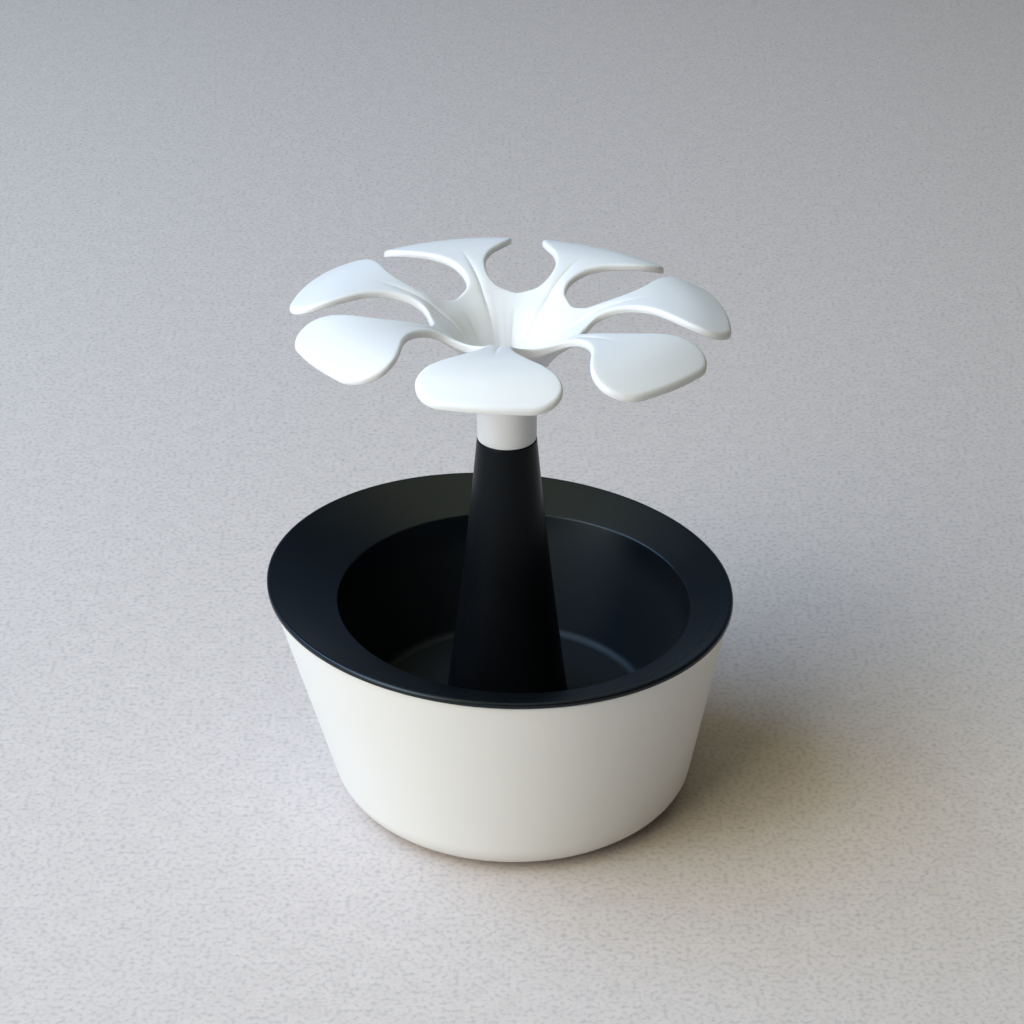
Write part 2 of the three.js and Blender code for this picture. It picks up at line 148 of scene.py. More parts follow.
# Its faces, as radius and height above the stem's top
FLOWER_TOP = [
    (0, 6.7), (1.9, 7.4), (3.7, 10.1), (5.3, 14.1), (7.3, 18.1), (9.6, 21.4), (12.3, 24.3),
    (15.2, 26.3), (19, 28.75), (25, 30.4), (32, 30.85), (39, 29.75), (47, 26.25),
]
FLOWER_UNDER = [
    (47, 24.7), (39, 28.2), (32, 29.3), (25, 28.75), (19, 26.95), (15, 24.05),
    (11.6, 21.25), (8.8, 17.9), (7.1, 14.3), (6.35, 10.3),
]
# Half of a petal's edge, from the bottom of a gap to the tip: distance along, distance across
PETAL_EDGE = [
    (15.6, 5), (17.1, 3.25), (19.3, 2.6), (22, 2.8), (25.4, 3.95), (29, 6.65),
    (31.8, 10), (34.95, 13), (38.45, 14.3), (41.7, 13.25), (44.1, 10.45), (45, 6.2),
]
PETAL_TIP = 45.4
GAP_BOTTOM = 15.8
TOP_ROUND = 0.7  # round along the upper edge of the petals
UNDER_ROUND = 0.35
# Creases pressed into the upper face, along each petal's middle and, shorter, below each gap
VEIN_DEPTH = 0.32
VEIN_WIDTH = 1.15
VEIN_START = (5.0, 15.0)
VEIN_END = (20.0, 31.0)
FOLD_DEPTH = 0.22
FOLD_WIDTH = 1.3
FOLD_START = (4.5, 7.0)
FOLD_END = (9.5, 14.0)
# Fine pleats in the funnel, as a relief of its finish
PLEATS = 3.4  # how closely they stand
PLEAT_DEPTH = 0.5
PLEAT_FADE = (19.0, 9.0)  # radii between which they set in
PLEAT_RISE = (STEM_TOP_HEIGHT + 10, STEM_TOP_HEIGHT + 17)  # heights between which they set in

# Fineness of the meshes
SIDES = 192
ROUND_STEPS = 8
GUARD = 0.15  # a loop this far beside each round keeps the faces next to it flat
SHARP_ANGLE = math.radians(40)
RIM_POINTS = 7 * 90  # round the flower's outline
RIM_LOOPS = 5  # over each round of its edge
FUNNEL_RADIUS = 13.0  # inside this the flower is turned
FUNNEL_SIDES = 7 * 40
PETAL_GRID = 0.75
VEIN_LINES = (0.12, 0.28, 0.48, 0.75, 1.15)  # rows of points beside each vein
VEIN_STEP = 0.6
VEIN_CLEARANCE = 1.3  # the grid starts this far past the end of a vein
FUNNEL_CLEARANCE = 0.5
EDGE_CLEARANCE = 0.45 * PETAL_GRID


# Meshes

def unit(step):
    return step / abs(step)


def rounded(corners):
    """Profile through (radius, height) corners. A third number rounds a corner with an arc."""
    profile = []
    for index, (radius, height, *rounding) in enumerate(corners):
        corner = complex(radius, height)
        if not rounding:
            profile.append(corner)
            continue
        back = unit(complex(*corners[index - 1][:2]) - corner)
        ahead = unit(complex(*corners[index + 1][:2]) - corner)
        half = abs(cmath.phase(ahead / back)) / 2
        reach = rounding[0] / math.tan(half)
        middle = corner + unit(back + ahead) * rounding[0] / math.sin(half)
        start = corner + back * reach - middle
        turn = cmath.phase((corner + ahead * reach - middle) / start)
        profile.append(corner + back * (reach + GUARD))
        for step in range(ROUND_STEPS + 1):
            profile.append(middle + start * cmath.exp(1j * turn * step / ROUND_STEPS))
        profile.append(corner + ahead * (reach + GUARD))
    return [(point.real, point.imag) for point in profile]


def spline(points, closed=False, power=0.0, steps=24):
    """Smooth curve through the points. A power of 0.5 suits points that are unevenly spaced."""
    points = np.array(points, float)
    if closed:
        padded = np.concatenate([points[-1:], points, points[:2]])
    else:
        padded = np.concatenate([points[:1], points, points[-1:]])
    share = np.linspace(0, 1, steps, endpoint=False)[:, None]
    curve = []
    for p0, p1, p2, p3 in zip(padded, padded[1:], padded[2:], padded[3:]):
        pairs = ((p0, p1), (p1, p2), (p2, p3))
        before, along, after = (np.linalg.norm(b - a) ** power for a, b in pairs)
        leave = (p1 - p0) / before - (p2 - p0) / (before + along) + (p2 - p1) / along
        arrive = (p2 - p1) / along - (p3 - p1) / (along + after) + (p3 - p2) / after
        a = 2 * (p1 - p2) + (leave + arrive) * along
        b = 3 * (p2 - p1) - (2 * leave + arrive) * along
        curve.append(p1 + share * (leave * along + share * (b + share * a)))
    if not closed:
        curve.append(points[-1:])
    return np.concatenate(curve)


def piece(name, mesh, slot, body, *nodes):
    """A piece from mesh data in millimetres, which stands for CAD nodes and rides on their body."""
    mesh.transform(Matrix.Scale(MM, 4))
    made = bpy.data.objects.new(name, mesh)
    bpy.context.scene.collection.objects.link(made)
    soften(mesh)
    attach(made, body)
    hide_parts(*nodes)
    return made


def soften(mesh):
    """Faces a mesh outwards and shades it smooth, with its sharp edges kept."""
    edit = bmesh.new()
    edit.from_mesh(mesh)
    bmesh.ops.recalc_face_normals(edit, faces=edit.faces)
    for face in edit.faces:
        face.smooth = True
    for edge in edit.edges:
        edge.smooth = edge.calc_face_angle(0) < SHARP_ANGLE
    edit.to_mesh(mesh)
    edit.free()


def turned(profile, bend=None, closed=False, sides=SIDES):
    """Mesh of a (radius, height) profile turned about the Z axis, then bent point by point."""
    edit = bmesh.new()
    rings = []
    for radius, height in profile:
        if radius < TINY:
            rings.append([edit.verts.new((0, 0, height))] * sides)
            continue
        spokes = [cmath.rect(radius, math.tau * side / sides) for side in range(sides)]
        rings.append([edit.verts.new((spoke.real, spoke.imag, height)) for spoke in spokes])
    if closed:
        rings.append(rings[0])
    for lower, upper in zip(rings, rings[1:]):
        for side in range(sides):
            after = (side + 1) % sides
            corners = [lower[side], lower[after], upper[after], upper[side]]
            edit.faces.new(list(dict.fromkeys(corners)))
    for vertex in edit.verts if bend else ():
        vertex.co = bend(vertex.co)
    bmesh.ops.recalc_face_normals(edit, faces=edit.faces)
    mesh = bpy.data.meshes.new("turned")
    edit.to_mesh(mesh)
    edit.free()
    return mesh


def post(radius, foot, top, x, y):
    """Upright cylinder that is joined to or cut from another mesh."""
    mesh = turned([(0, foot), (radius, foot), (radius, top), (0, top)], sides=64)
    mesh.transform(Matrix.Translation((x, y, 0)))
    return mesh


def carved(mesh, tool, operation):
    """A mesh joined with, or cut by, another one."""
    body = bpy.data.objects.new("body", mesh)
    cutter = bpy.data.objects.new("cutter", tool)
    for made in (body, cutter):
        bpy.context.scene.collection.objects.link(made)
    carve = body.modifiers.new("carve", "BOOLEAN")
    carve.operation = operation
    carve.object = cutter
    carve.solver = "EXACT"
    evaluated = body.evaluated_get(bpy.context.evaluated_depsgraph_get())
    result = bpy.data.meshes.new_from_object(evaluated)
    for made in (body, cutter):
        bpy.data.objects.remove(made)
    return result


# Lean of the pot

def tip(point, shift, slope, pitch):
    """A level circle leans about its own middle and moves sideways."""
    height = point.z - slope * point.x - pitch * point.y
    return Vector((point.x + shift, point.y, height))


def wall_lean(height):
    share = max(0, (height - FLOOR_TOP) / (RIM_HEIGHT - FLOOR_TOP))
    tilt, pitch = math.tan(math.radians(RIM_TILT)), math.tan(math.radians(RIM_PITCH))
    return np.array([RIM_SHIFT, tilt, pitch]) * share


def cup_lean(height):
    share = min(max((height - CUP_FLOOR_HEIGHT) / (OPENING_HEIGHT - CUP_FLOOR_HEIGHT), 0), 1)
    return np.array([(STEM_X - BASE_X) * (1 - share), math.tan(math.radians(OPENING_TILT)) * share, 0])


def wall_radius(height):
    return RIM_RADIUS - LIP_OVERHANG - (SHELL_TOP - height) * math.tan(math.radians(WALL_ANGLE))


def inner_wall_radius(height):
    return wall_radius(height) - SHELL_WALL / math.cos(math.radians(WALL_ANGLE))


def shell_bend(point):
    return tip(point, *wall_lean(point.z)) + Vector((BASE_X, 0, 0))


def liner_bend(point):
    """The lip follows the shell, the cup its own lean, and the flange blends between them."""
    cup_edge = OPENING_RADIUS + LINER_WALL
    skirt_edge = inner_wall_radius(LIP_UNDERSIDE - SKIRT_DEPTH) - SKIRT_CLEARANCE - SKIRT_WALL
    share = min(max((math.hypot(point.x, point.y) - cup_edge) / (skirt_edge - cup_edge), 0), 1)
    lean = cup_lean(point.z) * (1 - share) + wall_lean(point.z) * share
    return tip(point, *lean) + Vector((BASE_X, 0, 0))


# Pieces

def pot_shell():
    mesh = turned(rounded([
        (0, TABLE_GAP),
        (wall_radius(TABLE_GAP), TABLE_GAP, BASE_FILLET),
        (wall_radius(SHELL_TOP), SHELL_TOP, SHELL_EDGE_ROUND),
        (inner_wall_radius(SHELL_TOP), SHELL_TOP, SHELL_EDGE_ROUND),
        (inner_wall_radius(FLOOR_TOP), FLOOR_TOP, BASE_FILLET - SHELL_WALL),
        (0, FLOOR_TOP),
    ]), shell_bend)
    for side in (-BOSS_OFFSET, BOSS_OFFSET):
        boss = post(BOSS_RADIUS, FLOOR_TOP - SHELL_FLOOR / 2, BOSS_TOP, BASE_X, side)
        bore = post(BOSS_BORE, BOSS_BORE_FOOT, BOSS_TOP + 1, BASE_X, side)
        mesh = carved(carved(mesh, boss, "UNION"), bore, "DIFFERENCE")
    for foot in range(FOOT_COUNT):
        angle = math.radians(90 + 360 * foot / FOOT_COUNT)
        place = (BASE_X + FOOT_CIRCLE * math.cos(angle), FOOT_CIRCLE * math.sin(angle))
        mesh = carved(mesh, post(FOOT_POCKET_RADIUS, -1, FOOT_POCKET_TOP, *place), "DIFFERENCE")
    return piece("pot_shell_moulding", mesh, "shell_white", "pot", "pot_shell")


def pot_liner():
    underside = CUP_FLOOR_HEIGHT - LINER_FLOOR
    skirt_foot = LIP_UNDERSIDE - SKIRT_DEPTH
    skirt_outer = inner_wall_radius(skirt_foot) - SKIRT_CLEARANCE
    skirt_top = inner_wall_radius(LIP_UNDERSIDE) - SKIRT_CLEARANCE
    cup_slope = (OPENING_RADIUS - CUP_FLOOR_RADIUS) / (OPENING_HEIGHT - CUP_FLOOR_HEIGHT)
    flange_slope = (RIM_HEIGHT - OPENING_HEIGHT) / (RIM_RADIUS - OPENING_RADIUS)
    cup_outer = OPENING_RADIUS + LINER_WALL

    def flange_underside(radius):
        return OPENING_HEIGHT - LINER_WALL + (radius - OPENING_RADIUS) * flange_slope

    mesh = turned(rounded([
        (LINER_BORE, underside),
        (CUP_FLOOR_RADIUS - cup_slope * LINER_FLOOR + LINER_WALL, underside, CUP_FILLET),
        (cup_outer, flange_underside(cup_outer)),
        (skirt_outer - SKIRT_WALL, flange_underside(skirt_outer - SKIRT_WALL)),
        (skirt_outer - SKIRT_WALL, skirt_foot),
        (skirt_outer, skirt_foot),
        (skirt_top, LIP_UNDERSIDE),
        (RIM_RADIUS, LIP_UNDERSIDE, LIP_UNDER_ROUND),
        (RIM_RADIUS, RIM_HEIGHT, LIP_ROUND),
        (OPENING_RADIUS, OPENING_HEIGHT, OPENING_ROUND),
        (CUP_FLOOR_RADIUS, CUP_FLOOR_HEIGHT, CUP_FILLET),
        (LINER_BORE, CUP_FLOOR_HEIGHT),
    ]), liner_bend, closed=True)
    return piece("pot_liner_moulding", mesh, "liner_black", "liner_and_stem", "pot_liner")


def stem_radius(height):
    share = (height - CUP_FLOOR_HEIGHT) / (STEM_TOP_HEIGHT - CUP_FLOOR_HEIGHT)
    cone = STEM_FOOT_RADIUS + (STEM_TOP_RADIUS - STEM_FOOT_RADIUS) * share
    return cone - 4 * STEM_WAIST * share * (1 - share)


def stem():
    socket_foot = STEM_TOP_HEIGHT - SOCKET_DEPTH
    outer_heights = np.linspace(CUP_FLOOR_HEIGHT, STEM_TOP_HEIGHT - STEM_EDGE_ZONE, 30)
    inner_heights = np.linspace(socket_foot, PLUG_TOP, 12)
    outer_side = [(stem_radius(height), height) for height in outer_heights]
    inner_side = [
        (min(stem_radius(height) - STEM_WALL, PLUG_BORE), height) for height in inner_heights
    ]
    profile = rounded([
        *outer_side,
        (STEM_TOP_RADIUS, STEM_TOP_HEIGHT, STEM_EDGE_ROUND),
        (SOCKET_RADIUS, STEM_TOP_HEIGHT, STEM_EDGE_ROUND),
        (SOCKET_RADIUS, socket_foot),
        *inner_side,
        (PLUG_BORE, CUP_FLOOR_HEIGHT),
    ])
    mesh = turned(profile, lambda point: point + Vector((STEM_X, 0, 0)), closed=True)
    return piece("stem_moulding", mesh, "stem_black", "liner_and_stem", "stem")


# Flower: two sheets joined by a rounded edge, over a turned funnel and neck

top_curve = spline(FLOWER_TOP) + (0, STEM_TOP_HEIGHT)
under_curve = (spline(FLOWER_UNDER) + (0, STEM_TOP_HEIGHT))[::-1]


def smoothstep(value, low, high):
    share = np.clip((value - low) / (high - low), 0, 1)
    return share * share * (3 - 2 * share)


def crease(across, width):
    return np.maximum(0, 1 - np.abs(across) / width) ** 2


def creases(points):
    """Depth of the creases at points of the upper face."""
    radius = np.hypot(points[:, 0], points[:, 1])
    turn = np.arctan2(points[:, 0], -points[:, 1]) - math.radians(FRONT_PETAL_TURN)
    step = math.tau / PETALS
    beside_petal = (turn + step / 2) % step - step / 2
    beside_gap = turn % step - step / 2
    vein = VEIN_DEPTH * smoothstep(radius, *VEIN_START) * (1 - smoothstep(radius, *VEIN_END))
    fold = FOLD_DEPTH * smoothstep(radius, *FOLD_START) * (1 - smoothstep(radius, *FOLD_END))
    return (
        vein * crease(radius * np.sin(beside_petal), VEIN_WIDTH)
        + fold * crease(radius * np.sin(beside_gap), FOLD_WIDTH)
    )


def heights(points, side, fullness=1.0):
    """Heights of the upper (side 1) or lower (side -1) face, and of the edge at lower fullness."""
    radius = np.hypot(points[:, 0], points[:, 1])
    top = np.interp(radius, top_curve[:, 0], top_curve[:, 1])
    under = np.interp(radius, under_curve[:, 0], under_curve[:, 1])
    height = (top + under) / 2 + side * (top - under) / 2 * fullness
    return height - creases(points) * fullness if side > 0 else height


def petal_places(pairs, petal):
    """Points from (along, across) pairs in one petal's own directions."""
    angle = math.radians(FRONT_PETAL_TURN + 360 * petal / PETALS)
    along, across = np.array(pairs, float).T
    return np.stack([
        along * math.sin(angle) + across * math.cos(angle),
        -along * math.cos(angle) + across * math.sin(angle),
    ], 1)


def flower_outline():
    """Evenly spaced points round all the petals."""
    there = [(along, -across) for along, across in PETAL_EDGE]
    back = [(along, across) for along, across in reversed(PETAL_EDGE)]
    corners = []
    for petal in range(PETALS):
        corners.append(petal_places([(GAP_BOTTOM, 0)], petal - 0.5))
        corners.append(petal_places([*there, (PETAL_TIP, 0), *back], petal))
    curve = spline(np.concatenate(corners), closed=True, power=0.5)
    curve = np.concatenate([curve, curve[:1]])
    length = np.concatenate([[0], np.cumsum(np.linalg.norm(np.diff(curve, axis=0), axis=1))])
    places = np.linspace(0, length[-1], RIM_POINTS, endpoint=False)
    return np.stack([np.interp(places, length, curve[:, axis]) for axis in (0, 1)], 1)


def inside(points, polygon):
    """Which points lie inside a closed polygon."""
    x, y = points[:, :1], points[:, 1:]
    start, end = polygon, np.roll(polygon, -1, 0)
    crosses = (start[:, 1] > y) != (end[:, 1] > y)
    rise = end[:, 1] - start[:, 1]
    rise = np.where(rise == 0, 1e-12, rise)
    at = start[:, 0] + (y - start[:, 1]) / rise * (end[:, 0] - start[:, 0])
    return (crosses & (x < at)).sum(1) % 2 == 1


def petal_points(edge):
    """Points inside the petals, on lines beside each vein and on a grid elsewhere."""
    lines = []
    along = np.arange(FUNNEL_RADIUS + VEIN_STEP, VEIN_END[1] + 1, VEIN_STEP)
    for petal in range(PETALS):
        for across in (0, *VEIN_LINES, *(-line for line in VEIN_LINES)):
            lines.append(petal_places([(a, across) for a in along], petal))
    lines = np.concatenate(lines)
    rows = np.arange(-PETAL_TIP, PETAL_TIP, PETAL_GRID * math.sqrt(0.75))
    columns = np.arange(-PETAL_TIP, PETAL_TIP, PETAL_GRID)
    grid = np.array([(x + row % 2 * PETAL_GRID / 2, y) for row, y in enumerate(rows) for x in columns])
    points = np.concatenate([lines, grid])
    is_grid = np.arange(len(points)) >= len(lines)
    radius = np.hypot(points[:, 0], points[:, 1])
    step = math.tau / PETALS
    turn = np.arctan2(points[:, 0], -points[:, 1]) - math.radians(FRONT_PETAL_TURN)
    across = np.abs(radius * np.sin((turn + step / 2) % step - step / 2))
    by_vein = (across < VEIN_LINES[-1] + PETAL_GRID / 2) & (radius < VEIN_END[1] + VEIN_CLEARANCE)
    beside_funnel = radius < FUNNEL_RADIUS + FUNNEL_CLEARANCE
    points = points[~beside_funnel & (radius < PETAL_TIP) & ~(is_grid & by_vein)]
    nearest = np.array([np.min(np.hypot(*(edge - point).T)) for point in points])
    return points[(nearest > EDGE_CLEARANCE) & inside(points, edge)]


def nod(point):
    """The head leans on its neck: it turns about the middle of the bend."""
    share = float(smoothstep(point.z, NOD_START, NOD_END))
    middle = Vector((0, 0, (NOD_START + NOD_END) / 2))
    turn = Matrix.Rotation(-math.radians(NOD_FORWARD) * share, 3, "X") @ Matrix.Rotation(
        math.radians(NOD_SIDEWAYS) * share, 3, "Y"
    )
    return turn @ (point - middle) + middle + Vector((STEM_X, 0, 0))


def neck_profile():
    """The turned middle of the flower's underside, from the petals down to the spigot's foot."""
    groove = STEM_TOP_HEIGHT - GROOVE_DROP
    foot = STEM_TOP_HEIGHT - SPIGOT_LENGTH
    trumpet = [tuple(point) for point in under_curve[::-1][::5] if point[0] < FUNNEL_RADIUS - 0.3]
    return rounded([
        *trumpet,
        (NECK_RADIUS + NECK_DRAFT, STEM_TOP_HEIGHT + NECK_BAND),
        (NECK_RADIUS, STEM_TOP_HEIGHT, NECK_EDGE_ROUND),
        (SPIGOT_RADIUS, STEM_TOP_HEIGHT),
        (SPIGOT_RADIUS, groove + GROOVE_WIDTH / 2),
        (GROOVE_RADIUS, groove + GROOVE_WIDTH / 2),
        (GROOVE_RADIUS, groove - GROOVE_WIDTH / 2),
        (SPIGOT_RADIUS, groove - GROOVE_WIDTH / 2),
        (SPIGOT_RADIUS, foot + SPIGOT_CHAMFER),
        (SPIGOT_RADIUS - SPIGOT_CHAMFER, foot),
        (0, foot),
    ])


class Sheet:
    """Collects the flower's points and faces."""

    def __init__(self):
        self.points = []
        self.faces = []

    def add(self, flat, height):
        first = len(self.points)
        self.points.extend(np.column_stack([flat, height]).tolist())
        return list(range(first, len(self.points)))

    def strip(self, lower, upper):
        """Quads between two closed rows of points, or a fan where the upper row is one point."""
        for index in range(len(lower)):
            after = (index + 1) % len(lower)
            if len(upper) == 1:
                self.faces.append([lower[index], lower[after], upper[0]])
            else:
                self.faces.append([lower[index], lower[after], upper[after], upper[index]])


def flower():
    sheet = Sheet()
    outline = flower_outline()
    ahead = np.roll(outline, -1, 0) - np.roll(outline, 1, 0)
    inward = np.stack([-ahead[:, 1], ahead[:, 0]], 1) / np.linalg.norm(ahead, axis=1)[:, None]
    half = (heights(outline, 1) - heights(outline, -1)) / 2
    edge_row = sheet.add(outline, heights(outline, 1, 0.0))
    blade_edge = outline + inward * TOP_ROUND

    circle = math.tau * np.arange(FUNNEL_SIDES) / FUNNEL_SIDES + math.radians(FRONT_PETAL_TURN)
    ring = np.stack([np.sin(circle), -np.cos(circle)], 1)
    flat = np.concatenate([blade_edge, ring * FUNNEL_RADIUS, petal_points(blade_edge)])
    chains = [range(RIM_POINTS), range(RIM_POINTS, RIM_POINTS + FUNNEL_SIDES)]
    edges = [(chain[i], chain[(i + 1) % len(chain)]) for chain in chains for i in range(len(chain))]
    made = delaunay_2d_cdt([Vector(point) for point in flat], edges, [], 0, 1e-7)
    source = [first[0] for first in made[3]]
    triangles = np.array([[source[corner] for corner in face] for face in made[2]])
    centres = flat[triangles].mean(1)
    keep = inside(centres, blade_edge) & (np.hypot(*centres.T) > FUNNEL_RADIUS * 0.9999)
    keep &= ~((triangles >= chains[1][0]) & (triangles <= chains[1][-1])).all(1)

    for side, radius in ((1, TOP_ROUND), (-1, UNDER_ROUND)):
        row = edge_row
        loops = RIM_LOOPS if side > 0 else RIM_LOOPS + 1
        for turn in [math.pi / 2 * loop / RIM_LOOPS for loop in range(loops)]:
            loop = outline + inward * radius * (1 - math.cos(turn))
            above = sheet.add(loop, heights(loop, side, 1 - radius * (1 - math.sin(turn)) / half))
            sheet.strip(row, above)
            row = above
        blade = sheet.add(flat, heights(flat, side))
        sheet.strip(row, blade[:RIM_POINTS])
        sheet.faces.extend([blade[corner] for corner in face] for face in triangles[keep])
        row = blade[RIM_POINTS:RIM_POINTS + FUNNEL_SIDES]
        if side > 0:
            inner = [(r, None) for r in np.linspace(FUNNEL_RADIUS, 0, 44)[1:]]
        else:
            inner = neck_profile()
        for radius, height in inner:
            flat_row = ring * radius if radius > TINY else np.zeros((1, 2))
            level = heights(flat_row, 1) if height is None else np.full(len(flat_row), height)
            above = sheet.add(flat_row, level)
            sheet.strip(row, above)
            row = above

    mesh = bpy.data.meshes.new("flower")
    mesh.from_pydata([nod(Vector(point)) for point in sheet.points], [], sheet.faces)
    edit = bmesh.new()
    edit.from_mesh(mesh)
    bmesh.ops.delete(edit, geom=[v for v in edit.verts if not v.link_faces], context="VERTS")
    edit.to_mesh(mesh)
    edit.free()
    return piece("flower_moulding", mesh, "flower_white", "flower", "flower")


# Finishes

class Wire:
    """A node's output in arithmetic: each operator adds the Math node that does it."""

    def __init__(self, shader, socket):
        self.shader = shader
        self.socket = socket

    def math(self, operation, *values):
        return self.shader.node("ShaderNodeMath", {"operation": operation}, dict(enumerate(values)))

    def __add__(self, other):
        return self.math("ADD", self, other)

    def __sub__(self, other):
        return self.math("SUBTRACT", self, other)

    def __rsub__(self, other):
        return self.math("SUBTRACT", other, self)

    def __mul__(self, other):
        return self.math("MULTIPLY", self, other)

    def __gt__(self, other):
        return self.math("GREATER_THAN", self, other)

    def __lt__(self, other):
        return self.math("LESS_THAN", self, other)

    __radd__ = __add__
    __rmul__ = __mul__


class Shader:
    """Node tree of a material or of the world. node() makes every node but the surface."""

    def __init__(self, owner, surface, constants):
        owner.use_nodes = True
        self.owner = owner
        self.tree = owner.node_tree
        self.surface = self.tree.nodes[surface]
        for socket, value in constants.items():
            self.surface.inputs[socket].default_value = value

    def node(self, kind, settings=None, inputs=None, output=0):
        made = self.tree.nodes.new(kind)
        for name, value in (settings or {}).items():
            setattr(made, name, value)
        for socket, value in (inputs or {}).items():
            self.feed(made.inputs[socket], value)
        return Wire(self, made.outputs[output])

    def feed(self, socket, value):
        if isinstance(value, Wire):
            self.tree.links.new(value.socket, socket)
        else:
            socket.default_value = value

    def colours(self, factor, first, second):
        inputs = {0: factor, 6: rgb(first), 7: rgb(second)}
        return self.node("ShaderNodeMix", {"data_type": "RGBA"}, inputs, output=2)

    def ramp(self, value, start, end):
        """0 up to the start and 1 from the end, whichever of them is the larger."""
        inputs = {"Value": value, "From Min": start, "From Max": end}
        return self.node("ShaderNodeMapRange", {}, inputs)

    def along(self, place, axis):
        return self.node("ShaderNodeSeparateXYZ", {}, {0: place}, output=axis)

    def vector(self, operation, place, other=(0, 0, 0), output=0):
        inputs = {0: place, 1: other}
        return self.node("ShaderNodeVectorMath", {"operation": operation}, inputs, output)


class Finish(Shader):
    """One material. Constants go on the surface's own sockets."""

    def __init__(self, name, constants):
        super().__init__(bpy.data.materials.new(name), "Principled BSDF", constants)
        self.place = self.node("ShaderNodeTexCoord", output="Object")

    def noise(self, size, detail, place=None):
        """Noise from 0 to 1 with features of a size in millimetres."""
        inputs = {"Vector": place or self.place, "Scale": 1 / (size * MM), "Detail": detail}
        return self.node("ShaderNodeTexNoise", {}, inputs)

    def stretched(self, x, y, z):
        """The place on the piece, drawn out along some directions."""
        return self.vector("MULTIPLY", self.place, (x, y, z))

    def specks(self, spacing, size, share):
        """1 in scattered small specks, each about size across, in a share of the cells."""
        inputs = {"Vector": self.place, "Scale": 1 / (spacing * MM)}
        near = self.node("ShaderNodeTexVoronoi", {}, inputs)
        colour = self.node("ShaderNodeTexVoronoi", {}, inputs, output="Color")
        pick = self.node("ShaderNodeSeparateColor", {}, {0: colour})
        return (near < size / spacing / 2) * (pick < share)

    def finish(self, colour, roughness, relief=None, depth=0.01):
        """Colour and roughness of the surface, and a relief of a depth in millimetres."""
        self.feed(self.surface.inputs["Base Color"], rgb(colour))
        self.feed(self.surface.inputs["Roughness"], roughness)
        if relief is not None:
            inputs = {"Height": relief, "Distance": depth * MM, "Strength": 1.0}
            self.feed(self.surface.inputs["Normal"], self.node("ShaderNodeBump", {}, inputs))
        return self.owner


def rgb(colour):
    """A colour with its alpha, or a wire as it is."""
    return colour if isinstance(colour, Wire) else (*colour, 1.0)


PAINTED_BLUE_REFLECTION_TINT = (0.78, 0.92, 1.0, 1.0)  # painted reflection colour: the black plastics' reflections are tinted blue, standing in for the blue light they mirror


def shell_white():
    shader = Finish("shell white, fine matte plastic", {"IOR": 1.48})
    cloud = shader.noise(30, 3)
    grain = shader.noise(0.35, 3)
    colour = shader.colours(cloud, (0.83, 0.81, 0.765), (0.87, 0.85, 0.81))
    return shader.finish(colour, 0.44 + 0.1 * cloud, grain, 0.006)


def flower_white():
    glow = {"Subsurface Weight": 0.4, "Subsurface Radius": (1.0, 1.0, 1.0), "Subsurface Scale": 2 * MM}
    shader = Finish("flower white, satin plastic", {"IOR": 1.5, **glow})
    cloud = shader.noise(14, 4)
    grain = shader.noise(0.35, 3)
    aside = shader.vector("SUBTRACT", shader.place, (STEM_X * MM, 0, 0))
    flat = shader.vector("MULTIPLY", aside, (1, 1, 0))
    way = shader.vector("NORMALIZE", flat)
    radius = shader.vector("LENGTH", flat, output="Value")
    near = shader.ramp(radius, PLEAT_FADE[0] * MM, PLEAT_FADE[1] * MM)
    high = shader.ramp(shader.along(shader.place, "Z"), PLEAT_RISE[0] * MM, PLEAT_RISE[1] * MM)
    pleats = shader.node("ShaderNodeTexNoise", {}, {"Vector": way, "Scale": PLEATS, "Detail": 1.5})
    colour = shader.colours(cloud, (0.76, 0.752, 0.75), (0.8, 0.792, 0.79))
    relief = pleats * (near * high) + grain * 0.01
    return shader.finish(colour, 0.34 + 0.08 * cloud, relief, PLEAT_DEPTH)


def liner_black():
    # Its reflections carry the painted blue reflection tint, which stands in for blue light.
    shader = Finish("liner black, satin plastic", {"IOR": 1.46, "Specular Tint": PAINTED_BLUE_REFLECTION_TINT})
    cloud = shader.noise(18, 4)
    grain = shader.noise(0.3, 3)
    dust = shader.specks(5, 0.28, 0.16)
    height = shader.along(shader.place, "Z")
    deep = shader.ramp(height, (OPENING_HEIGHT - 2) * MM, (OPENING_HEIGHT - 8) * MM)
    colour = shader.colours(cloud, (0.0022, 0.003, 0.0045), (0.0036, 0.0048, 0.0072))
    colour = shader.colours(dust * 0.5, colour, (0.22, 0.23, 0.24))
    return shader.finish(colour, 0.27 + 0.1 * cloud + 0.25 * deep, grain, 0.004)


def stem_black():
    # Its reflections carry the painted blue reflection tint, which stands in for blue light.
    sheen = {"IOR": 1.42, "Specular IOR Level": 0.2, "Specular Tint": PAINTED_BLUE_REFLECTION_TINT}
    shader = Finish("stem black, satin plastic", sheen)
    streak = shader.noise(6, 4, shader.stretched(1, 1, 0.12))
    grain = shader.noise(0.3, 3)
    colour = shader.colours(streak, (0.003, 0.0033, 0.004), (0.005, 0.0055, 0.0068))
    return shader.finish(colour, 0.28 + 0.12 * streak, grain, 0.004)


def plug_black():
    shader = Finish("plug black, moulded plastic", {"IOR": 1.48})
    cloud = shader.noise(4, 4)
    colour = shader.colours(cloud, (0.014, 0.014, 0.016), (0.026, 0.026, 0.029))
    return shader.finish(colour, 0.5 + 0.15 * cloud, shader.noise(0.5, 3), 0.02)


def zinc_steel():
    shader = Finish("zinc plated steel", {"Metallic": 1.0})
    cloud = shader.noise(1.6, 5)
    colour = shader.colours(cloud, (0.42, 0.43, 0.45), (0.6, 0.6, 0.58))
    return shader.finish(colour, 0.26 + 0.2 * cloud, shader.noise(0.25, 4), 0.008)


